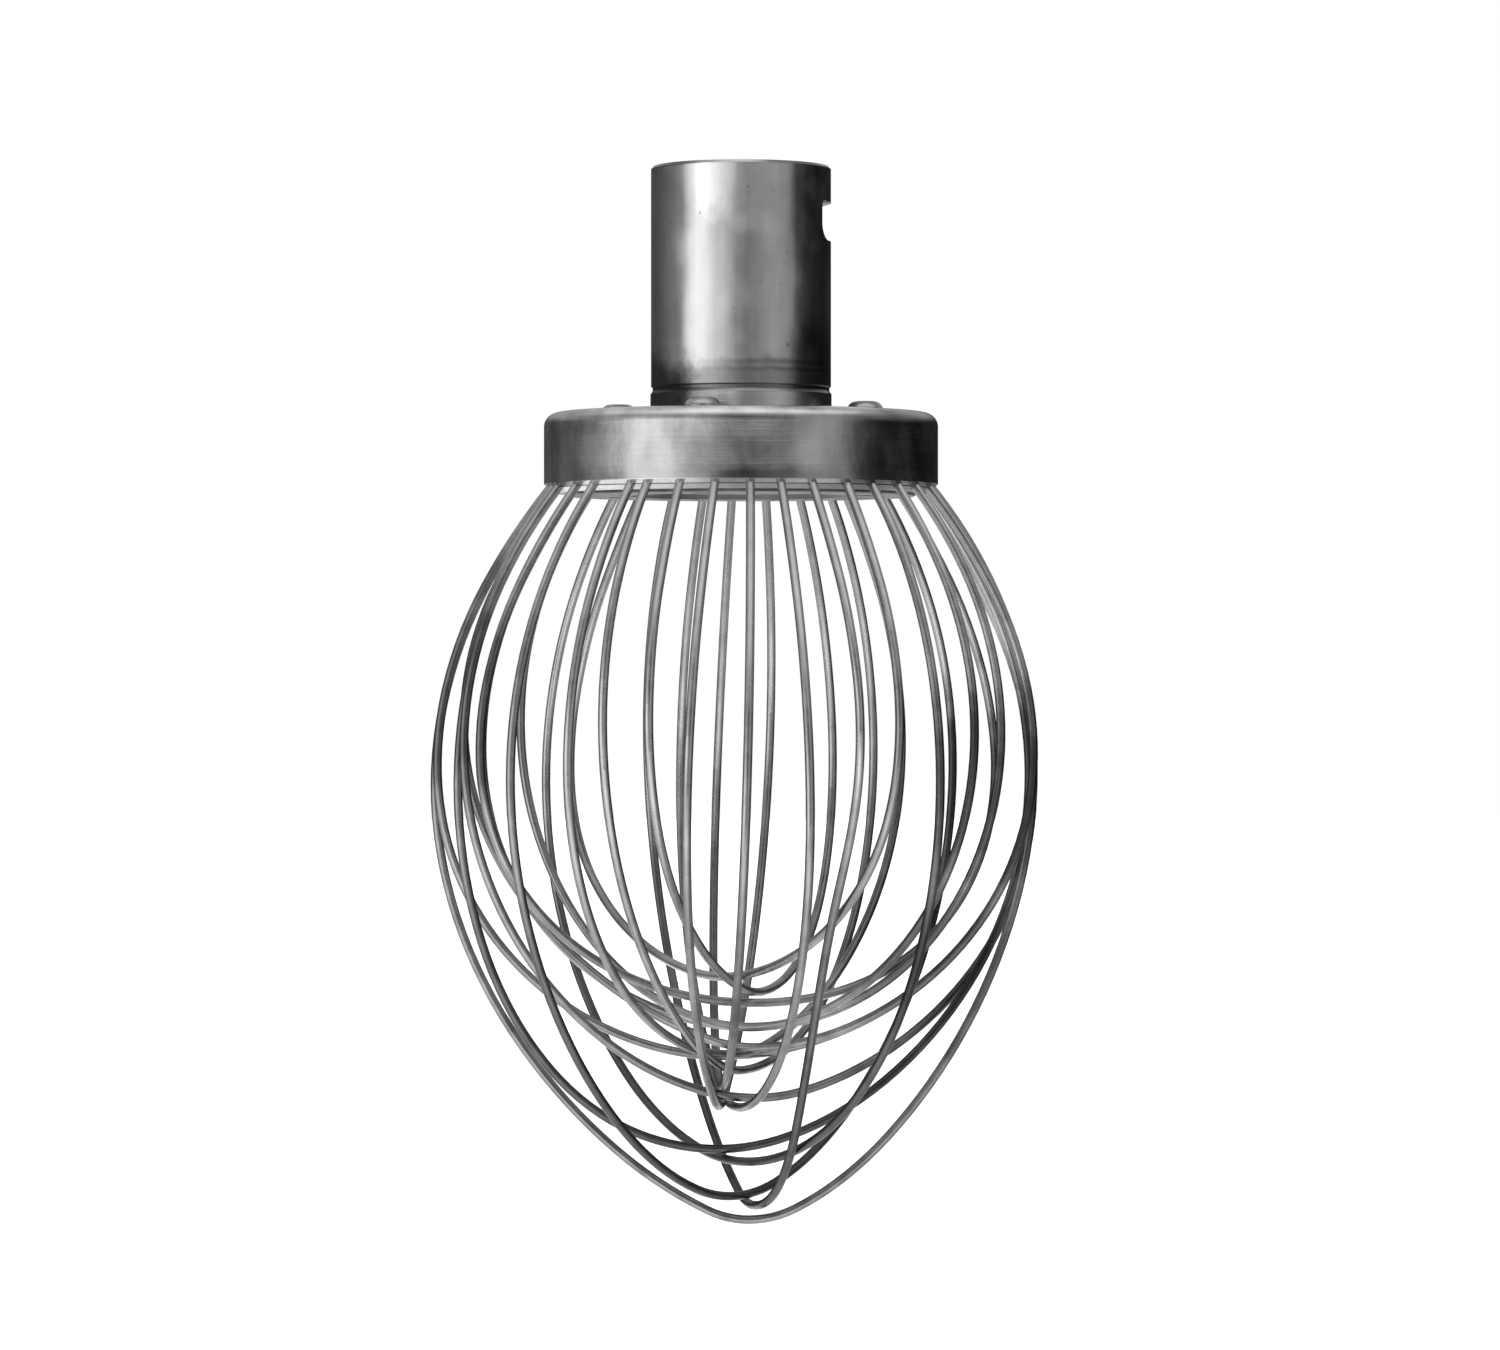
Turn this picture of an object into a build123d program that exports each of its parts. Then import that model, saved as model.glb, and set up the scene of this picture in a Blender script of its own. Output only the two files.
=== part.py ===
from build123d import *
import os
from math import sin, cos, tan, radians, pi, sqrt, hypot

# Stand mixer wire whisk, millimetres.
# Frame: origin on the axis at the mouth of the drive bore, +Z up along the bore,
# the whisk hangs down in -Z.  +X is to the right of the front view, the front is -Y.

# ---------------------------------------------------------------- driving dimensions
# drive sleeve
SLEEVE_OD = 45.0            # outside of the tube
SLEEVE_BORE = 32.0          # drive bore
SLEEVE_BORE_DEPTH = 56.0    # from the mouth to the flat floor
RIM_CHAMFER = 0.7           # outer edge of the mouth
FOOT_GROOVE_Z = -55.7       # middle of the shallow groove above the foot collar
FOOT_GROOVE_W = 1.4
FOOT_GROOVE_DEPTH = 0.40
FOOT_COLLAR_OD = 45.3       # collar that stands on the cap
SPIGOT_D = 30.0             # locating spigot under the collar
SPIGOT_LEN = 8.2

# bayonet slot in the +X side of the sleeve (angles from +X towards +Y)
SLOT_TOP = -9.1
SLOT_BOTTOM = -18.8
SLOT_BLIND_ANGLE = -26.0    # locked end
SLOT_FAR_ANGLE = 52.0       # end under the entry
ENTRY_WIDTH_ANGLE = 24.0    # entry leg, open to the mouth
SLOT_R_UPPER = 1.2          # corner radii of the locked end
SLOT_R_LOWER = 4.2

# head cap: an inverted cup with a conical seat for the wires
CAP_OD = 98.5
CAP_TOP_Z = -61.6
CAP_SIDE_BOTTOM_Z = -79.4
CAP_TOP_EDGE_R = 3.5
CAP_ROOF_Z = -70.2          # roof of the recess
CAP_HOLE_CLEAR = 0.05       # radial clearance round the spigot

# wires
WIRE_D = 2.2
WIRE_RING_R = 47.5          # where the wire centres cross the ring plane
WIRE_RING_Z = -80.03
WIRE_ANGLE = 38.0           # splay of the straight wire ends from the vertical
WIRE_SOCKET = 12.0          # straight length inside the head, above the ring plane
WIRE_LEAD = 2.0             # straight length outside, below the ring plane
GROOVE_CLEAR = 0.03         # radial clearance of the grooves
SEAT_GAP = 0.30             # gap between the two cones

# wire plate: the plug that wedges the wires against the cap
PLATE_TOP_Z = -70.6
PLATE_SHOULDER_R = 46.3
PLATE_R = 43.6
PLATE_BOTTOM_Z = -82.4
PLATE_DISH_R = 27.0
PLATE_DISH_DEPTH = 1.2
CENTRE_DRILL_D = 4.0

# cap screws
SCREW_COUNT = 4
SCREW_PCD = 64.4
SCREW_FIRST_ANGLE = 17.0    # turn of the screw square, clockwise seen from above
SCREW_D = 5.0
SCREW_LEN = 20.0
SCREW_HEAD_D = 9.0
SCREW_HEAD_H = 2.6
SCREW_SOCKET_AF = 3.0
SCREW_SOCKET_DEPTH = 1.5
SCREW_CLEAR_D = 5.5
SCREW_TAP_CLEAR = 0.02

# wire loops, one row each:
#  azimuth   of the loop's first leg, degrees from the front (-Y) towards +X
#  depth     of the loop's lowest point under the ring plane
#  shift     of the lowest point along the loop's own plane
#  lean      of the lowest point out of the upright plane
#  a_top, a_low, b_top, b_low   lengths of the end tangents of the two legs
LOOPS = [
    ( -82.88,  143.04,   3.23,  -8.77, 100.69,  49.88,  98.83,  56.29),
    ( -75.04,  165.63,   4.05,  -2.58,  73.62,  65.99, 107.16,  50.18),
    ( -69.83,  152.92,  -5.69,  -0.88,  94.47,  51.46, 122.47,  36.03),
    ( -57.44,  129.07,  -7.32,   1.37,  99.76,  62.96,  89.06,  65.61),
    ( -48.91,  177.32,   0.33,  -1.60,  98.29,  44.15,  98.90,  43.31),
    ( -34.11,  141.54,   2.45,   0.88,  85.01,  65.44, 108.52,  36.52),
    ( -28.49,  145.69,   0.82,   1.29,  90.30,  38.60,  78.96,  62.73),
    ( -18.12,  126.62,  -7.56,   2.80, 116.11,  31.10,  72.97,  65.62),
    (  -7.66,  154.60,   2.29,  -5.02, 129.09,  17.32, 115.04,  13.29),
    (   2.73,  149.30,   2.01,  -5.10, 113.59,  65.50, 110.72,  65.45),
    (  11.69,  155.23,  -5.84,  -0.67, 122.55,  63.74, 109.49,  43.98),
    (  21.20,  180.00,  -3.58,   4.42,  63.00,  32.00, 103.94,  24.14),
    (  32.49,  122.42,  -2.20,  -6.27, 107.23,  45.00, 118.87,  34.98),
    (  41.77,  168.40,   0.70,  -1.72,  79.85,  65.64, 102.70,  49.21),
    (  53.26,  134.67,   4.01,  -4.56,  85.36,  52.00,  79.96,  53.88),
    (  63.52,  135.12,  -0.82,   2.43,  77.87,  59.67,  95.08,  55.15),
    (  76.45,  139.73,   4.61,  -7.01, 100.60,  44.46, 103.14,  29.00),
    (  90.82,  183.11,   1.98,  -0.62, 102.07,  35.37, 122.31,  26.94),
]
# a leg with a bent shoulder: loop index -> (radius, depth, inward angle, tangent lengths above and below)
SHOULDERS = {11: (59.2, 98.0, 33.5, 30.0, 46.0)}

# ---------------------------------------------------------------- helpers
WR = WIRE_D / 2.0
B_S, B_C = sin(radians(WIRE_ANGLE)), cos(radians(WIRE_ANGLE))
B_T = B_S / B_C


def ring_solid(points):
    """Turned solid from a closed (radius, height) outline."""
    face = make_face(Polyline(*[(r, 0, z) for r, z in points], close=True))
    return revolve(face, Axis.Z)


def circle_edges(part, radius, z, tol=0.02):
    """Full circular edges of that radius at that height."""
    out = []
    for e in part.edges().filter_by(GeomType.CIRCLE):
        if abs(e.radius - radius) < tol and abs(e.center().Z - z) < tol:
            out.append(e)
    return out


def bezier(c, t):
    """Point and unit tangent of a planar cubic."""
    s = 1.0 - t
    w = (s * s * s, 3 * s * s * t, 3 * s * t * t, t * t * t)
    p = (sum(w[i] * c[i][0] for i in range(4)), sum(w[i] * c[i][1] for i in range(4)))
    d = [(c[i + 1][0] - c[i][0], c[i + 1][1] - c[i][1]) for i in range(3)]
    v = (s * s, 2 * s * t, t * t)
    q = (sum(v[i] * d[i][0] for i in range(3)), sum(v[i] * d[i][1] for i in range(3)))
    n = hypot(*q)
    return p, (q[0] / n, q[1] / n)


def arc_mid(p, t, q):
    """Middle of the arc that leaves p along t and ends at q."""
    n = (-t[1], t[0])
    dx, dy = q[0] - p[0], q[1] - p[1]
    k = 2.0 * (n[0] * dx + n[1] * dy)
    if abs(k) < 1e-7:
        return None
    s = (dx * dx + dy * dy) / k
    c = (p[0] + s * n[0], p[1] + s * n[1])
    m = ((p[0] + q[0]) / 2 - c[0], (p[1] + q[1]) / 2 - c[1])
    l = hypot(*m)
    return (c[0] + m[0] / l * abs(s), c[1] + m[1] / l * abs(s))


def biarc(p0, t0, p1, t1):
    """Two tangent arcs from p0 along t0 to p1 along t1: [(start, middle, end), ...]."""
    vx, vy = p1[0] - p0[0], p1[1] - p0[1]
    tx, ty = t0[0] + t1[0], t0[1] + t1[1]
    dot = t0[0] * t1[0] + t0[1] * t1[1]
    vt, vv = vx * tx + vy * ty, vx * vx + vy * vy
    a = 2.0 * (1.0 - dot)
    d = vv / (2.0 * vt) * 1.0 if a < 1e-9 else (-vt + sqrt(vt * vt + a * vv)) / a
    j = ((p0[0] + p1[0] + d * (t0[0] - t1[0])) / 2, (p0[1] + p1[1] + d * (t0[1] - t1[1])) / 2)
    m0 = arc_mid(p0, t0, j)
    back = arc_mid(p1, (-t1[0], -t1[1]), j)
    return [(p0, m0, j), (j, back, p1)]


def leg_arcs(top, low, depth, shift, knee=None):
    """Arcs of one leg, from the end of its straight lead to the loop's lowest point."""
    s = (WIRE_RING_R + WIRE_LEAD * B_S, WIRE_LEAD * B_C)
    first = (s[0] + top * B_S, s[1] + top * B_C)
    last = [(shift + low, depth), (shift, depth)]
    if knee is None:
        spans = [([s, first] + last, [0.0, 0.22, 0.44, 0.64, 0.82, 1.0])]
    else:
        r, v, turn, above, below = knee
        u = (-sin(radians(turn)), cos(radians(turn)))
        mid = (r, v)
        spans = [
            ([s, first, (r - above * u[0], v - above * u[1]), mid], [0.0, 0.35, 0.7, 1.0]),
            ([mid, (r + below * u[0], v + below * u[1])] + last, [0.0, 0.4, 0.75, 1.0]),
        ]
    arcs = []
    for c, cuts in spans:
        nodes = [bezier(c, t) for t in cuts]
        nodes[0] = (c[0], nodes[0][1])
        nodes[-1] = (c[3], nodes[-1][1])
        for (p0, t0), (p1, t1) in zip(nodes[:-1], nodes[1:]):
            arcs += biarc(p0, t0, p1, t1)
    return arcs


def loop_frame(row):
    """Centre, radial direction and downward direction of a loop's plane."""
    az, depth, lean = radians(row[0]), row[1], row[3]
    centre = Vector(0, 0, WIRE_RING_Z)
    e = Vector(sin(az), -cos(az), 0)
    side = Vector(cos(az), sin(az), 0)
    down = (Vector(0, 0, -1) + side * (lean / depth)).normalized()
    return centre, e, down


def wire_ends(row):
    """The two straight ends of a loop: (inner end point, direction out of the head)."""
    centre, e, down = loop_frame(row)
    out = []
    for sgn in (1, -1):
        u = (e * (sgn * B_S) + down * B_C).normalized()
        ring = centre + e * (sgn * WIRE_RING_R)
        out.append((ring - u * WIRE_SOCKET, u))
    return out


def wire_loop(row, knee=None):
    """One loop of wire: straight end, two legs of tangent arcs, straight end."""
    az, depth, shift, lean, a_top, a_low, b_top, b_low = row
    centre, e, down = loop_frame(row)

    def at(p, sgn):
        return centre + e * (sgn * p[0]) + down * p[1]

    inner = (WIRE_RING_R - WIRE_SOCKET * B_S, -WIRE_SOCKET * B_C)
    lead = (WIRE_RING_R + WIRE_LEAD * B_S, WIRE_LEAD * B_C)
    arcs_a = leg_arcs(a_top, a_low, depth, shift, knee)
    arcs_b = leg_arcs(b_top, b_low, depth, -shift)
    edges = [Edge.make_line(at(inner, 1), at(lead, 1))]
    for p, m, q in arcs_a:
        edges.append(Edge.make_three_point_arc(at(p, 1), at(m, 1), at(q, 1)))
    for p, m, q in reversed(arcs_b):
        edges.append(Edge.make_three_point_arc(at(q, -1), at(m, -1), at(p, -1)))
    edges.append(Edge.make_line(at(lead, -1), at(inner, -1)))
    path = Wire(edges)
    start = at(inner, 1)
    z_dir = (at(lead, 1) - start).normalized()
    section = Plane(origin=start, x_dir=e.cross(down).normalized(), z_dir=z_dir) * Circle(WR)
    body = sweep(sections=section, path=path)
    length = sum(ed.length for ed in edges)
    return body, length


def sector(r0, r1, z0, z1, a0, a1):
    """Annular sector between two angles, degrees from +X."""
    face = make_face(Polyline((r0, 0, z0), (r1, 0, z0), (r1, 0, z1), (r0, 0, z1), close=True))
    return Rot(0, 0, a0) * revolve(face, Axis.Z, revolution_arc=a1 - a0)


# ---------------------------------------------------------------- drive sleeve
R_OUT, R_BORE = SLEEVE_OD / 2, SLEEVE_BORE / 2
g0, g1 = FOOT_GROOVE_Z + FOOT_GROOVE_W / 2, FOOT_GROOVE_Z - FOOT_GROOVE_W / 2
r_collar, r_spigot = FOOT_COLLAR_OD / 2, SPIGOT_D / 2
sleeve = ring_solid([
    (R_BORE, 0),
    (R_OUT - RIM_CHAMFER, 0),
    (R_OUT, -RIM_CHAMFER),
    (R_OUT, g0),
    (R_OUT - FOOT_GROOVE_DEPTH, g0 - 0.4),
    (R_OUT - FOOT_GROOVE_DEPTH, g1 + 0.3),
    (r_collar - 0.35, g1),
    (r_collar, g1 - 0.5),
    (r_collar, CAP_TOP_Z),
    (r_spigot, CAP_TOP_Z),
    (r_spigot, CAP_TOP_Z - SPIGOT_LEN + 0.6),
    (r_spigot - 0.6, CAP_TOP_Z - SPIGOT_LEN),
    (0, CAP_TOP_Z - SPIGOT_LEN),
    (0, -SLEEVE_BORE_DEPTH),
    (R_BORE, -SLEEVE_BORE_DEPTH),
])
slot = sector(R_BORE - 5, R_OUT + 5, SLOT_BOTTOM, SLOT_TOP, SLOT_BLIND_ANGLE, SLOT_FAR_ANGLE)


def blind_edge(z):
    """Radial edge of the slot's locked end at that height."""
    for e in slot.edges().filter_by(GeomType.LINE):
        c, t = e.center(), e % 0.5
        if abs(t.Z) < 1e-6 and abs(c.Z - z) < 1e-6 and c.Y < 0:
            return e


slot = fillet([blind_edge(SLOT_BOTTOM)], SLOT_R_LOWER)
slot = fillet([blind_edge(SLOT_TOP)], SLOT_R_UPPER)
entry = sector(R_BORE - 5, R_OUT + 5, SLOT_BOTTOM + 1.0, 5.0, SLOT_FAR_ANGLE - ENTRY_WIDTH_ANGLE, SLOT_FAR_ANGLE)
drive_sleeve = sleeve - (slot + entry)

# ---------------------------------------------------------------- head cap
R_CAP = CAP_OD / 2
off = SEAT_GAP / 2 / B_C


def seat_r(z, shift):
    """Radius of the parting cone at a height, moved out by shift."""
    return WIRE_RING_R + shift + (WIRE_RING_Z - z) * B_T


def meet(shift):
    """Where the bevelled underside meets a cone: distance along the bevel from the cap's lower edge."""
    return (R_CAP - WIRE_RING_R - shift - (WIRE_RING_Z - CAP_SIDE_BOTTOM_Z) * B_T) / (B_C + B_S * B_T)


def on_bevel(s):
    return (R_CAP - s * B_C, CAP_SIDE_BOTTOM_Z - s * B_S)


lip = on_bevel(meet(off))
r_hole = r_spigot + CAP_HOLE_CLEAR
cap = ring_solid([
    (r_hole, CAP_TOP_Z),
    (R_CAP, CAP_TOP_Z),
    (R_CAP, CAP_SIDE_BOTTOM_Z),
    lip,
    (seat_r(CAP_ROOF_Z, off), CAP_ROOF_Z),
    (r_hole, CAP_ROOF_Z),
])
cap = fillet(circle_edges(cap, R_CAP, CAP_TOP_Z), CAP_TOP_EDGE_R)

# ---------------------------------------------------------------- wire plate
shoulder_s = (R_CAP - PLATE_SHOULDER_R) / B_C
shoulder = on_bevel(shoulder_s)
plate = ring_solid([
    (0, PLATE_TOP_Z),
    (seat_r(PLATE_TOP_Z, -off), PLATE_TOP_Z),
    on_bevel(meet(-off)),
    shoulder,
    (PLATE_R, shoulder[1]),
    (PLATE_R, PLATE_BOTTOM_Z + 0.3),
    (PLATE_R - 0.3, PLATE_BOTTOM_Z),
    (PLATE_DISH_R + 0.8, PLATE_BOTTOM_Z),
    (PLATE_DISH_R, PLATE_BOTTOM_Z + PLATE_DISH_DEPTH),
    (CENTRE_DRILL_D / 2, PLATE_BOTTOM_Z + PLATE_DISH_DEPTH),
    (CENTRE_DRILL_D / 2, PLATE_BOTTOM_Z + PLATE_DISH_DEPTH + 2.0),
    (0, PLATE_BOTTOM_Z + PLATE_DISH_DEPTH + 3.2),
])

# grooves for the wire ends, half in the cap's seat and half in the plate
tools = []
for row in LOOPS:
    for p, u in wire_ends(row):
        pl = Plane(origin=p - u * 0.5, z_dir=u)
        tools.append(pl * Cylinder(WR + GROOVE_CLEAR, WIRE_SOCKET + WIRE_LEAD + 1.6,
                                   align=(Align.CENTER, Align.CENTER, Align.MIN)))
if tools:
    cap = cap - tools
    plate = plate - tools

# ---------------------------------------------------------------- cap screws
screws = []
for i in range(SCREW_COUNT):
    a = radians(360.0 / SCREW_COUNT * i - SCREW_FIRST_ANGLE)
    x, y = SCREW_PCD / 2 * cos(a), SCREW_PCD / 2 * sin(a)
    here = Pos(x, y, CAP_TOP_Z)
    cap = cap - here * Cylinder(SCREW_CLEAR_D / 2, 60)
    plate = plate - here * Cylinder(SCREW_D / 2 + SCREW_TAP_CLEAR, 60)
    r, h = SCREW_HEAD_D / 2, SCREW_HEAD_H
    rim = 0.55
    # domed head: flat crown, round flank, short upright rim
    crown = r * 0.5
    outline = [
        Polyline((0, 0, h), (crown, 0, h)),
        ThreePointArc((crown, 0, h), (r * 0.83, 0, h * 0.76), (r, 0, rim)),
        Polyline((r, 0, rim), (r, 0, 0), (SCREW_D / 2, 0, 0), (SCREW_D / 2, 0, 0.8 - SCREW_LEN),
                 (SCREW_D / 2 - 0.8, 0, -SCREW_LEN), (0, 0, -SCREW_LEN), (0, 0, h)),
    ]
    screw = revolve(make_face(outline), Axis.Z)
    hexagon = Plane(origin=(0, 0, h - SCREW_SOCKET_DEPTH)) * RegularPolygon(
        SCREW_SOCKET_AF / 2, 6, major_radius=False)
    screw = screw - extrude(hexagon, amount=SCREW_SOCKET_DEPTH + 1)
    screws.append(here * Rot(0, 0, 20 + 37 * i) * screw)

# ---------------------------------------------------------------- write the nodes
os.makedirs("parts", exist_ok=True)


def solids(shape):
    return list(shape.solids())


nodes = {
    "drive_sleeve": solids(drive_sleeve),
    "head_cap": solids(cap),
    "wire_plate": solids(plate),
    "cap_screws": [s for one in screws for s in solids(one)],
}
for i, row in enumerate(LOOPS):
    body, length = wire_loop(row, SHOULDERS.get(i))
    nodes["wire_loop_%02d" % (i + 1)] = solids(body)
    vol, want = body.volume, pi * WR * WR * length
    print("wire_loop_%02d" % (i + 1), "length %.1f" % length, "volume %.1f" % vol, "ratio %.4f" % (vol / want))

for name, group in nodes.items():
    shape = group[0] if len(group) == 1 else Compound(children=group)
    export_step(shape, "parts/%s.step" % name)
    print(name, len(group), "solid(s)", "volume %.1f" % sum(s.volume for s in group))
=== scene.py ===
import math

import bpy
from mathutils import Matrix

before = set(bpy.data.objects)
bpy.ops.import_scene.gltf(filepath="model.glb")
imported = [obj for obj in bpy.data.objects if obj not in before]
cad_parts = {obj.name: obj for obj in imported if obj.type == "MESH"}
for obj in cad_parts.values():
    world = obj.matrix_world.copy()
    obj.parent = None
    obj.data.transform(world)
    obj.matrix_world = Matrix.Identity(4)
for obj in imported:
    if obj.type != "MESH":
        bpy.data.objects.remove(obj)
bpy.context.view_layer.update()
scene = bpy.context.scene
scene.view_settings.view_transform = "Standard"
scene.view_settings.look = "None"
scene.view_settings.exposure = 0.0
scene.view_settings.gamma = 1.0


# ------------------------------------------------------------------ node helpers
class Tree:
    """Small helper round a node tree."""

    def __init__(self, tree):
        self.t = tree

    def new(self, kind, **props):
        n = self.t.nodes.new(kind)
        for k, v in props.items():
            setattr(n, k, v)
        return n

    def link(self, a, b):
        self.t.links.new(a, b)

    def put(self, socket, value):
        if hasattr(value, "is_output"):
            self.link(value, socket)
        else:
            socket.default_value = value

    def math(self, op, a, b=0.0, c=0.0, clamp=False):
        n = self.new("ShaderNodeMath", operation=op, use_clamp=clamp)
        for i, v in enumerate((a, b, c)):
            self.put(n.inputs[i], v)
        return n.outputs[0]

    def vmath(self, op, a, b=(0, 0, 0)):
        n = self.new("ShaderNodeVectorMath", operation=op)
        self.put(n.inputs[0], a)
        self.put(n.inputs[1], b)
        return n.outputs["Value"] if op in ("LENGTH", "DOT_PRODUCT", "DISTANCE") else n.outputs[0]

    def xyz(self, v):
        n = self.new("ShaderNodeSeparateXYZ")
        self.link(v, n.inputs[0])
        return n.outputs[0], n.outputs[1], n.outputs[2]

    def join(self, x, y, z):
        n = self.new("ShaderNodeCombineXYZ")
        for i, v in enumerate((x, y, z)):
            self.put(n.inputs[i], v)
        return n.outputs[0]

    def noise(self, vec, scale, detail=3.0, rough=0.55, distort=0.0):
        n = self.new("ShaderNodeTexNoise")
        self.link(vec, n.inputs["Vector"])
        n.inputs["Scale"].default_value = scale
        n.inputs["Detail"].default_value = detail
        n.inputs["Roughness"].default_value = rough
        n.inputs["Distortion"].default_value = distort
        return n.outputs[0]

    def span(self, v, lo, hi, a=0.0, b=1.0, smooth=True):
        n = self.new("ShaderNodeMapRange", interpolation_type="SMOOTHSTEP" if smooth else "LINEAR")
        self.put(n.inputs["Value"], v)
        n.inputs["From Min"].default_value = lo
        n.inputs["From Max"].default_value = hi
        n.inputs["To Min"].default_value = a
        n.inputs["To Max"].default_value = b
        return n.outputs["Result"]

    def mix(self, f, a, b):
        n = self.new("ShaderNodeMix", data_type="FLOAT")
        self.put(n.inputs[0], f)
        self.put(n.inputs[2], a)
        self.put(n.inputs[3], b)
        return n.outputs[0]

    def ramp(self, f, stops, mode="LINEAR"):
        n = self.new("ShaderNodeValToRGB")
        cr = n.color_ramp
        cr.interpolation = mode
        while len(cr.elements) < len(stops):
            cr.elements.new(0.5)
        for e, (p, c) in zip(cr.elements, stops):
            e.position = p
            e.color = (c, c, c, 1) if not isinstance(c, tuple) else (*c, 1)
        self.put(n.inputs[0], f)
        return n.outputs[0]

    def bump(self, height, distance, strength=1.0, normal=None):
        n = self.new("ShaderNodeBump")
        n.inputs["Strength"].default_value = strength
        n.inputs["Distance"].default_value = distance
        self.link(height, n.inputs["Height"])
        if normal is not None:
            self.link(normal, n.inputs["Normal"])
        return n.outputs[0]

    def grey(self, v, tint=(1.0, 1.0, 1.0)):
        """Grey colour from a value."""
        n = self.new("ShaderNodeCombineColor")
        for i in range(3):
            self.put(n.inputs[i], self.math("MULTIPLY", v, tint[i]))
        return n.outputs[0]


def steel(name):
    """A new metal material: (material, tree, shader, object coordinates)."""
    m = bpy.data.materials.new(name)
    m.use_nodes = True
    t = Tree(m.node_tree)
    shader = m.node_tree.nodes["Principled BSDF"]
    shader.inputs["Metallic"].default_value = 1.0
    co = t.new("ShaderNodeTexCoord").outputs["Object"]
    return m, t, shader, co


TINT = (0.985, 0.995, 1.0)


def turned(t, co, radial, axial, drift=6.0):
    """Coordinates that run fast across the lathe lines and slowly along them."""
    x, y, z = t.xyz(co)
    r = t.vmath("LENGTH", t.join(x, y, 0.0))
    side = t.vmath("SCALE", t.join(x, y, 0.0))
    side.node.inputs["Scale"].default_value = drift
    sx, sy, _ = t.xyz(side)
    return t.join(t.math("ADD", t.math("MULTIPLY", r, radial), sx), t.math("ADD", t.math("MULTIPLY", z, axial), sy), 0.0)


def stretched(t, co, sx, sy, sz):
    n = t.new("ShaderNodeMapping")
    t.link(co, n.inputs["Vector"])
    n.inputs["Scale"].default_value = (sx, sy, sz)
    return n.outputs[0]


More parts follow.
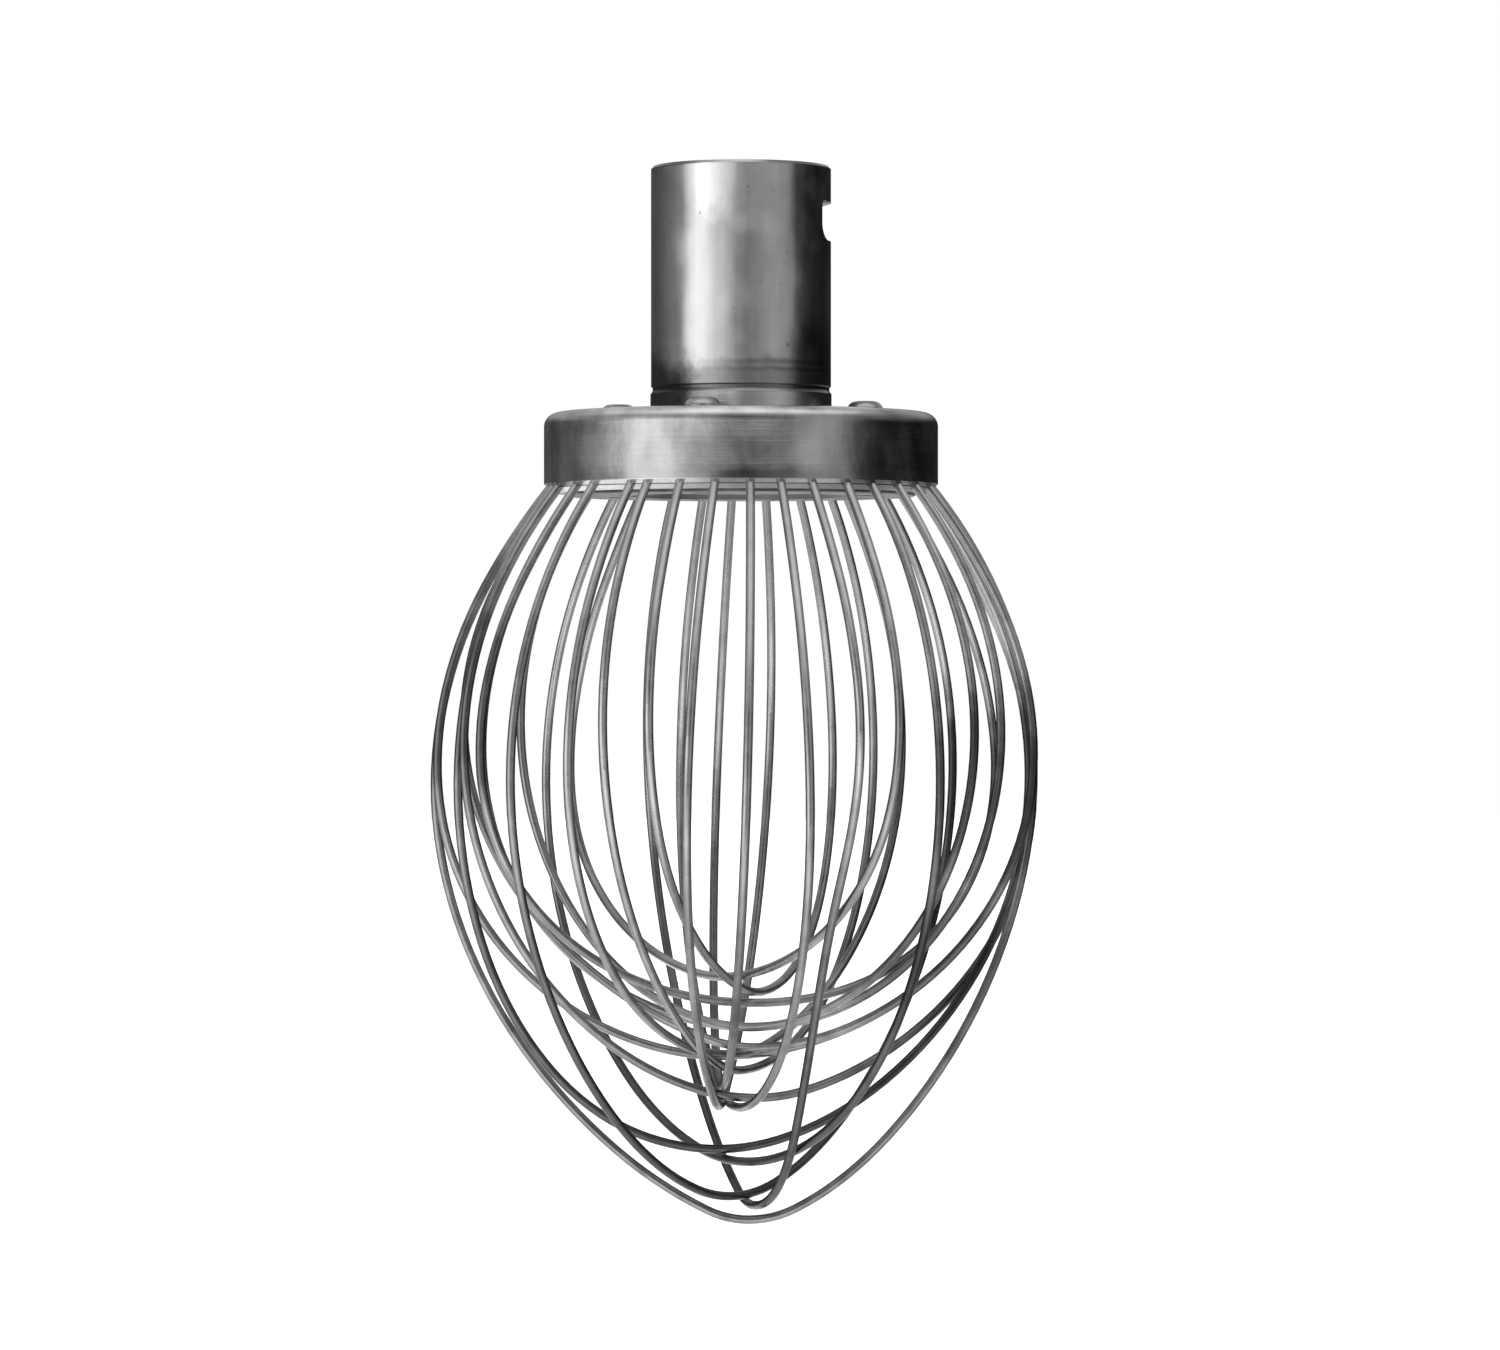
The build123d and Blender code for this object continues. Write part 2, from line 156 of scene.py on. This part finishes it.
# ------------------------------------------------------------------ materials
def sleeve_material():
    m, t, s, co = steel("sleeve_steel")
    x, y, z = t.xyz(co)
    bearing = t.math("ARCTAN2", x, t.math("MULTIPLY", y, -1.0))
    cloud = t.noise(co, 48.0, 4.0, 0.6)
    streak = t.noise(stretched(t, co, 240.0, 240.0, 22.0), 1.0, 4.0, 0.6)
    fine = t.noise(turned(t, co, 900.0, 2600.0), 1.0, 3.0, 0.6)
    specks = t.span(t.noise(co, 330.0, 2.0, 0.5), 0.70, 0.76)
    blot = t.span(t.noise(co, 104.0, 1.0, 0.40), 0.52, 0.76)
    ragged = t.math("SUBTRACT", t.noise(co, 95.0, 4.0, 0.6), 0.5)
    low = t.math("ADD", z, t.math("MULTIPLY", ragged, 0.016))
    # dull foot with an uneven upper edge, and round its left and back grime with painted shade
    foot = t.span(low, -0.0470, -0.0515)
    turn_in = t.math("ADD", bearing, t.math("MULTIPLY", ragged, 0.5))
    grime_and_shade = t.math("MULTIPLY", t.span(low, -0.0440, -0.0535), t.span(turn_in, -0.38, -0.74))
    grime_and_shade = t.math("MULTIPLY", grime_and_shade, t.span(bearing, -2.95, -2.0))
    collar = t.span(z, -0.0566, -0.0574)
    step = t.span(t.math("ABSOLUTE", t.math("ADD", z, 0.0560)), 0.0009, 0.0003)
    reach = t.vmath("LENGTH", t.join(x, y, 0.0))
    rim = t.math("MULTIPLY", t.span(z, -0.0011, -0.0007), t.span(reach, 0.02170, 0.02190))
    rim = t.math("MULTIPLY", rim, t.span(t.math("ABSOLUTE", t.math("SUBTRACT", bearing, 0.08)), 0.45, 0.80, 0.25, 1.0))
    # painted highlight on part of the upper front
    bright = t.math("MULTIPLY", t.span(low, -0.0180, -0.0080), t.span(t.math("ABSOLUTE", t.math("ADD", bearing, 0.15)), 0.44, 0.22))
    # two faint turning marks above the foot, fading out at the back
    low_mark = t.math("ADD", z, t.math("MULTIPLY", ragged, 0.0010))
    one = t.span(t.math("ABSOLUTE", t.math("ADD", low_mark, 0.0496)), 0.00100, 0.00010)
    two = t.span(t.math("ABSOLUTE", t.math("ADD", low_mark, 0.0515)), 0.00090, 0.00010)
    mark = t.math("MULTIPLY", t.math("MAXIMUM", one, two), t.span(t.math("ADD", bearing, t.math("MULTIPLY", ragged, 1.6)), -0.55, 0.55))
    mark = t.math("MULTIPLY", mark, t.span(bearing, 2.9, 2.0))
    base = t.math("ADD", t.span(cloud, 0.30, 0.70, 0.49, 0.61), t.span(streak, 0.30, 0.70, -0.045, 0.045))
    base = t.math("ADD", base, t.math("MULTIPLY", blot, 0.09))
    base = t.math("MULTIPLY", base, t.mix(foot, 1.0, 0.68))
    # painted reflection of the cap's top on the front of the collar
    base = t.math("MULTIPLY", base, t.mix(t.math("MULTIPLY", t.math("MULTIPLY", collar, t.span(turn_in, -0.38, -0.10)), t.span(turn_in, 0.98, 0.66)), 1.0, 1.75))
    # painted highlight: the upper front is lightened
    base = t.math("ADD", base, t.math("MULTIPLY", bright, 0.30))
    # painted shade with grime: the foot is much darker round its left and back
    base = t.math("MULTIPLY", base, t.mix(grime_and_shade, 1.0, 0.16))
    # painted shade: the right side is darkened low down, less on the collar
    right = t.math("MULTIPLY", t.span(low, -0.0360, -0.0460), t.math("MULTIPLY", t.span(turn_in, 0.42, 0.74), t.span(bearing, 2.6, 1.8)))
    right = t.math("MULTIPLY", right, t.mix(collar, 1.0, 0.30))
    base = t.math("MULTIPLY", base, t.mix(right, 1.0, 0.42))
    # mottled round the slot
    near = t.math("MULTIPLY", t.span(turn_in, 0.52, 0.85), t.math("MULTIPLY", t.span(low, -0.0270, -0.0190), t.span(bearing, 2.6, 2.0)))
    mottle = t.span(t.noise(co, 170.0, 2.0, 0.5), 0.30, 0.70, 0.62, 1.18)
    base = t.math("MULTIPLY", base, t.mix(near, 1.0, mottle))
    base = t.math("MULTIPLY", base, t.mix(rim, 1.0, 0.40))
    base = t.math("MULTIPLY", base, t.mix(step, 1.0, 0.55))
    base = t.math("MULTIPLY", base, t.mix(mark, 1.0, 0.62))
    base = t.math("MULTIPLY", base, t.mix(specks, 1.0, 0.70), clamp=True)
    t.link(t.grey(base, TINT), s.inputs["Base Color"])
    rough = t.math("ADD", t.span(cloud, 0.32, 0.68, 0.11, 0.20), t.span(streak, 0.35, 0.65, -0.02, 0.03))
    rough = t.math("ADD", rough, t.math("MULTIPLY", blot, 0.06))
    rough = t.mix(foot, rough, 0.25)
    rough = t.mix(grime_and_shade, rough, 0.45)
    rough = t.math("ADD", rough, t.math("MULTIPLY", specks, 0.12))
    t.link(rough, s.inputs["Roughness"])
    wave = t.noise(stretched(t, co, 55.0, 55.0, 34.0), 1.0, 2.0, 0.5)
    n1 = t.bump(wave, 0.00050)
    n2 = t.bump(streak, 0.00003, normal=n1)
    lines = t.math("SUBTRACT", t.math("MULTIPLY", fine, t.mix(foot, 0.35, 1.0)), t.math("MULTIPLY", mark, 0.25))
    t.link(t.bump(lines, 0.000045, normal=n2), s.inputs["Normal"])
    return m


def cap_material():
    m, t, s, co = steel("cap_steel")
    x, y, z = t.xyz(co)
    bearing = t.math("ARCTAN2", x, t.math("MULTIPLY", y, -1.0))
    cloud = t.noise(co, 62.0, 4.0, 0.62)
    patch = t.noise(co, 120.0, 1.5, 0.5)
    smear = t.noise(stretched(t, co, 150.0, 150.0, 36.0), 1.0, 4.0, 0.6)
    rings = t.noise(turned(t, co, 1300.0, 1300.0, 9.0), 1.0, 4.0, 0.65)
    scratch = t.noise(turned(t, co, 5200.0, 5200.0, 30.0), 1.0, 2.0, 0.6)
    low_edge = t.span(z, -0.07915, -0.0794)
    base = t.math("ADD", t.span(cloud, 0.30, 0.70, 0.43, 0.57), t.span(smear, 0.30, 0.70, -0.05, 0.05))
    base = t.math("ADD", base, t.span(patch, 0.32, 0.68, -0.06, 0.06))
    base = t.math("ADD", base, t.span(rings, 0.30, 0.70, -0.03, 0.03))
    # painted highlight on the rounded top edge, weaker on the left
    reach = t.vmath("LENGTH", t.join(x, y, 0.0))
    edge = t.math("MULTIPLY", t.span(z, -0.0640, -0.0626), t.span(reach, 0.0450, 0.0464))
    left = t.span(t.math("ABSOLUTE", t.math("ADD", bearing, 1.20)), 0.36, 0.14)
    base = t.math("MULTIPLY", base, t.mix(edge, 1.0, t.mix(left, 1.80, 1.10)), clamp=True)
    # a stain along the lower edge, front middle, that runs up a little
    low = t.math("ADD", z, t.math("MULTIPLY", t.math("SUBTRACT", patch, 0.5), 0.004))
    stain = t.math("MULTIPLY", t.span(low, -0.0745, -0.0782), t.span(t.math("ABSOLUTE", t.math("SUBTRACT", bearing, 0.10)), 0.46, 0.12))
    run = t.math("MULTIPLY", t.span(low, -0.0660, -0.0720), t.span(t.math("ABSOLUTE", t.math("ADD", bearing, 0.06)), 0.20, 0.05))
    base = t.math("MULTIPLY", base, t.mix(t.math("MAXIMUM", stain, t.math("MULTIPLY", run, 0.6)), 1.0, 0.46))
    base = t.math("MULTIPLY", base, t.mix(t.math("MULTIPLY", stain, run), 1.0, 0.45))
    # painted shade: the right side is darker, more so on the top edge
    skew = t.math("ADD", bearing, t.math("MULTIPLY", t.math("SUBTRACT", cloud, 0.5), 0.5))
    dark = t.math("MULTIPLY", t.span(skew, 0.44, 0.64), t.span(skew, 2.4, 1.9))
    over = t.math("MULTIPLY", t.span(skew, 0.62, 0.88), t.span(reach, 0.0452, 0.0474))
    dark = t.math("MULTIPLY", dark, t.math("MAXIMUM", t.span(z, -0.0635, -0.0660), over))
    base = t.math("MULTIPLY", base, t.mix(t.math("MULTIPLY", dark, t.mix(edge, 1.0, 1.7)), 1.0, 0.50))
    # painted light and shade on the lower chamfer: lighter left of the front, darker at the front, darkest at the far
    # left and on the right
    lower = t.math("MULTIPLY", t.span(bearing, -0.08, -0.30, 0.46, 0.80), t.mix(left, 1.0, 0.28))
    base = t.mix(low_edge, base, t.mix(dark, lower, 0.13))
    t.link(t.grey(base, TINT), s.inputs["Base Color"])
    rough = t.math("ADD", t.span(cloud, 0.32, 0.68, 0.17, 0.26), t.span(rings, 0.30, 0.70, -0.02, 0.03))
    rough = t.math("ADD", rough, t.span(patch, 0.36, 0.70, 0.0, 0.06))
    rough = t.mix(low_edge, rough, 0.24)
    t.link(rough, s.inputs["Roughness"])
    n1 = t.bump(cloud, 0.00028)
    n2 = t.bump(rings, 0.00006, normal=n1)
    t.link(t.bump(scratch, 0.000012, normal=n2), s.inputs["Normal"])
    return m


def plate_material():
    m, t, s, co = steel("plate_steel")
    x, y, z = t.xyz(co)
    r = t.vmath("LENGTH", t.join(x, y, 0.0))
    cloud = t.noise(co, 70.0, 4.0, 0.6)
    rings = t.noise(turned(t, co, 1700.0, 1700.0, 8.0), 1.0, 4.0, 0.65)
    # bright bevel outside; painted shade inside the ring of wires
    bevel = t.span(r, 0.0438, 0.0446)
    inside = t.math("ADD", t.span(cloud, 0.30, 0.70, 0.12, 0.22), t.span(rings, 0.30, 0.70, -0.03, 0.03))
    # painted light and shade: the bevel is lighter on the left and darker on the right
    outside = t.math("MULTIPLY", t.span(cloud, 0.3, 0.7, 0.46, 0.58), t.span(x, -0.004, 0.034, 1.0, 0.36))
    outside = t.math("MULTIPLY", outside, t.span(x, -0.008, -0.022, 1.0, 1.55))
    t.link(t.grey(t.mix(bevel, inside, outside), TINT), s.inputs["Base Color"])
    dull = t.math("ADD", t.span(cloud, 0.30, 0.70, 0.34, 0.48), t.span(rings, 0.3, 0.7, -0.04, 0.04))
    t.link(t.mix(bevel, dull, 0.26), s.inputs["Roughness"])
    t.link(t.bump(rings, 0.00009, normal=t.bump(cloud, 0.0002)), s.inputs["Normal"])
    return m


def screw_material():
    m, t, s, co = steel("screw_steel")
    cloud = t.noise(co, 420.0, 3.0, 0.6)
    grit = t.noise(co, 2600.0, 2.0, 0.6)
    t.link(t.grey(t.span(cloud, 0.30, 0.70, 0.40, 0.56), TINT), s.inputs["Base Color"])
    t.link(t.span(cloud, 0.30, 0.70, 0.18, 0.30), s.inputs["Roughness"])
    t.link(t.bump(grit, 0.00002), s.inputs["Normal"])
    return m


def wire_material(name, tone):
    """Drawn wire; tone sets painted light and shade on its lower part."""
    m, t, s, co = steel(name)
    x, _, z = t.xyz(co)
    cloud = t.noise(co, 60.0, 3.0, 0.6)
    stain = t.noise(co, 260.0, 4.0, 0.6)
    scuff = t.noise(stretched(t, co, 1400.0, 1400.0, 260.0), 1.0, 3.0, 0.6)
    # clean near the head, duller from the middle down; painted shade darkest at the left and right of the belly
    drift = t.math("ADD", z, t.math("MULTIPLY", t.math("SUBTRACT", cloud, 0.5), 0.055))
    worn = t.span(drift, -0.140, -0.195)
    belly = t.span(t.math("ABSOLUTE", t.math("ADD", drift, 0.155)), 0.042, 0.008)
    left = t.math("MULTIPLY", t.span(t.math("ABSOLUTE", t.math("ADD", drift, 0.130)), 0.044, 0.010), t.span(x, -0.046, -0.066, 0.0, 0.85))
    painted_side_shade = t.math("MAXIMUM", left, t.math("MULTIPLY", belly, t.span(x, 0.025, 0.055)))
    patch = t.span(cloud, 0.46, 0.72)
    clean = t.math("ADD", t.span(cloud, 0.30, 0.70, 0.50, 0.62), t.span(stain, 0.30, 0.70, -0.05, 0.05))
    dull = t.math("ADD", t.span(cloud, 0.30, 0.70, 0.34, 0.50), t.span(stain, 0.30, 0.70, -0.05, 0.05))
    dull = t.math("MULTIPLY", t.mix(patch, dull, 0.22), t.span(z, -0.150, -0.200, 1.0, tone))
    dull = t.math("MULTIPLY", dull, t.span(z, -0.205, -0.235, 1.0, 0.80))
    base = t.mix(worn, clean, dull)
    # and a spot of painted shade low on the right
    spot = t.vmath("LENGTH", t.join(t.math("SUBTRACT", x, 0.049), 0.0, t.math("ADD", z, 0.196)))
    painted_side_shade = t.math("MAXIMUM", painted_side_shade, t.span(t.math("ADD", spot, t.math("MULTIPLY", cloud, 0.014)), 0.038, 0.018, 0.0, 0.75))
    base = t.mix(painted_side_shade, base, t.math("MULTIPLY", base, 0.17))
    # painted shade just under the head
    base = t.math("MULTIPLY", base, t.span(z, -0.118, -0.092, 1.0, 0.86))
    # rubbed bright again where the loops cross
    x2 = t.span(t.math("ABSOLUTE", x), 0.034, 0.012)
    base = t.math("MULTIPLY", base, t.mix(t.math("MULTIPLY", x2, t.math("MULTIPLY", t.span(z, -0.176, -0.196), t.span(z, -0.228, -0.205))), 1.0, 1.4))
    t.link(t.grey(base, TINT), s.inputs["Base Color"])
    rough = t.math("ADD", t.mix(worn, 0.25, 0.30), t.span(stain, 0.30, 0.70, -0.04, 0.06))
    t.link(rough, s.inputs["Roughness"])
    t.link(t.bump(scuff, 0.000007), s.inputs["Normal"])
    return m


def dress(node, material):
    """Give a construction piece its finish."""
    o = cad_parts[node]
    if not o.data.materials:
        o.data.materials.append(material)
    for slot in o.material_slots:
        slot.material = material


dress("drive_sleeve", sleeve_material())
dress("head_cap", cap_material())
dress("wire_plate", plate_material())
dress("cap_screws", screw_material())
# lit and shaded copies of the wire steel: painted light and shade, given loop by loop
tones = {"mid": wire_material("wire_steel", 1.0), "dim": wire_material("wire_steel_painted_dim", 0.70),
         "dark": wire_material("wire_steel_painted_shade", 0.45), "light": wire_material("wire_steel_painted_light", 1.10)}
shaded_loops = {"wire_loop_02": "dark", "wire_loop_05": "dark", "wire_loop_12": "dark", "wire_loop_14": "dark",
         "wire_loop_08": "dim", "wire_loop_09": "dim", "wire_loop_10": "dark", "wire_loop_11": "dim", "wire_loop_18": "light"}
for name in sorted(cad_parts):
    if name.startswith("wire_loop_"):
        dress(name, tones[shaded_loops.get(name, "mid")])

# ------------------------------------------------------------------ camera
PX = 0.00025                     # metres to a picture element at the axis
FOCAL = 5600.0                   # in picture elements of a 1500 wide frame
cam = bpy.data.cameras.new("camera")
cam.sensor_width = 36.0
cam.lens = FOCAL / 1500.0 * 36.0
cam.shift_x = (750.0 - 741.0) / 1500.0
cam.shift_y = -(675.0 - 660.0) / 1500.0
cam.clip_start = 0.05
cam.clip_end = 100.0
cam_obj = bpy.data.objects.new("camera", cam)
cam_obj.location = (0.0, -FOCAL * PX, -(660.0 - 166.9) * PX)
cam_obj.rotation_euler = (math.radians(90.0), 0.0, 0.0)
scene.collection.objects.link(cam_obj)
scene.camera = cam_obj

# ------------------------------------------------------------------ studio
world = bpy.data.worlds.new("studio")
scene.world = world
world.use_nodes = True
w = Tree(world.node_tree)
world.node_tree.nodes.clear()
direction = w.new("ShaderNodeTexCoord").outputs["Generated"]
dx, dy, dz = w.xyz(direction)
turn = w.math("ARCTAN2", dx, w.math("MULTIPLY", dy, -1.0))
around = w.math("ADD", w.math("DIVIDE", turn, 2.0 * math.pi), 0.5)


def at(deg):
    return deg / 360.0 + 0.5


# soft boxes and dark walls round the object, by bearing from the front
GAIN = 2.0
WALL = [
    (-180, 0.08), (-140, 0.09), (-112, 0.18), (-92, 0.29), (-80, 0.44), (-70, 1.25), (-58, 1.68), (-48, 1.62),
    (-38, 1.22), (-27, 1.00), (-16, 0.68), (-6, 0.36), (8, 0.27), (24, 0.38), (42, 0.50), (58, 0.46), (67, 0.34),
    (76, 0.10), (90, 0.034), (125, 0.016), (180, 0.03),
]
upper = w.ramp(around, [(at(a), v / GAIN) for a, v in WALL])
ROOF = [(-180, 0.30), (-90, 0.60), (-50, 1.0), (20, 0.95), (50, 1.0), (75, 0.80), (100, 0.45), (140, 0.30), (180, 0.30)]
roof = w.ramp(around, [(at(a), v / GAIN) for a, v in ROOF])


def blend(tree, f, a, b):
    n = tree.new("ShaderNodeMix", data_type="RGBA")
    tree.put(n.inputs[0], f)
    tree.put(n.inputs[6], a)
    tree.put(n.inputs[7], b)
    return n.outputs[2]


dim = w.new("ShaderNodeVectorMath", operation="SCALE")
w.link(upper, dim.inputs[0])
w.link(w.span(dz, -0.035, 0.01, 0.85, 1.0), dim.inputs["Scale"])
ceiling = (0.70 / GAIN, 0.70 / GAIN, 0.70 / GAIN, 1.0)
below = (0.80 / GAIN, 0.80 / GAIN, 0.80 / GAIN, 1.0)
FLOOR = [(-0.9, 0.7), (-0.6, 1.3), (-0.36, 1.6), (0.1, 1.6), (0.36, 1.25), (0.6, 0.8), (0.9, 0.4)]
ground = w.ramp(w.math("ADD", w.math("MULTIPLY", dx, 0.5), 0.5), [(0.5 * a + 0.5, v / GAIN) for a, v in FLOOR])
UPPER = [
    (-180, 0.52), (-130, 0.48), (-95, 0.38), (-58, 0.48), (-38, 0.36), (-16, 0.20), (-6, 0.11), (8, 0.09), (24, 0.14),
    (40, 0.52), (58, 0.36), (80, 0.19), (110, 0.36), (150, 0.50), (180, 0.52),
]
shade = w.ramp(around, [(at(a), v / GAIN) for a, v in UPPER])
light = blend(w, w.span(dz, 0.15, 0.34), dim.outputs[0], shade)
light = blend(w, w.span(dz, 0.52, 0.80), light, roof)
light = blend(w, w.span(dz, 0.93, 0.99), light, ceiling)
light = blend(w, w.span(dz, -0.10, -0.34), light, ground)
deep = w.new("ShaderNodeVectorMath", operation="SCALE")
w.link(ground, deep.inputs[0])
deep.inputs["Scale"].default_value = 0.70
light = blend(w, w.span(dz, -0.45, -0.75), light, deep.outputs[0])
light = blend(w, w.span(dz, -0.90, -0.985), light, below)
seen = w.new("ShaderNodeLightPath").outputs["Is Camera Ray"]
soft = w.new("ShaderNodeBackground")
soft.inputs["Strength"].default_value = GAIN
w.link(light, soft.inputs["Color"])
white = w.new("ShaderNodeBackground")
white.inputs["Color"].default_value = (1.0, 1.0, 1.0, 1.0)
white.inputs["Strength"].default_value = 1.0
pick = w.new("ShaderNodeMixShader")
w.link(seen, pick.inputs[0])
w.link(soft.outputs[0], pick.inputs[1])
w.link(white.outputs[0], pick.inputs[2])
out = w.new("ShaderNodeOutputWorld")
w.link(pick.outputs[0], out.inputs["Surface"])

# pale floor well under the hanging whisk
mesh = bpy.data.meshes.new("floor")
R = 40.0
mesh.from_pydata([(-R, -R, -1.30), (R, -R, -1.30), (R, R, -1.30), (-R, R, -1.30)], [], [(0, 1, 2, 3)])
floor = bpy.data.objects.new("floor", mesh)
scene.collection.objects.link(floor)
fm = bpy.data.materials.new("floor_pale")
fm.use_nodes = True
fs = fm.node_tree.nodes["Principled BSDF"]
fs.inputs["Base Color"].default_value = (0.9, 0.9, 0.9, 1.0)
fs.inputs["Roughness"].default_value = 0.9
fs.inputs["Emission Color"].default_value = (1.0, 1.0, 1.0, 1.0)
fs.inputs["Emission Strength"].default_value = 0.9
mesh.materials.append(fm)
floor.visible_glossy = False
floor.visible_diffuse = False
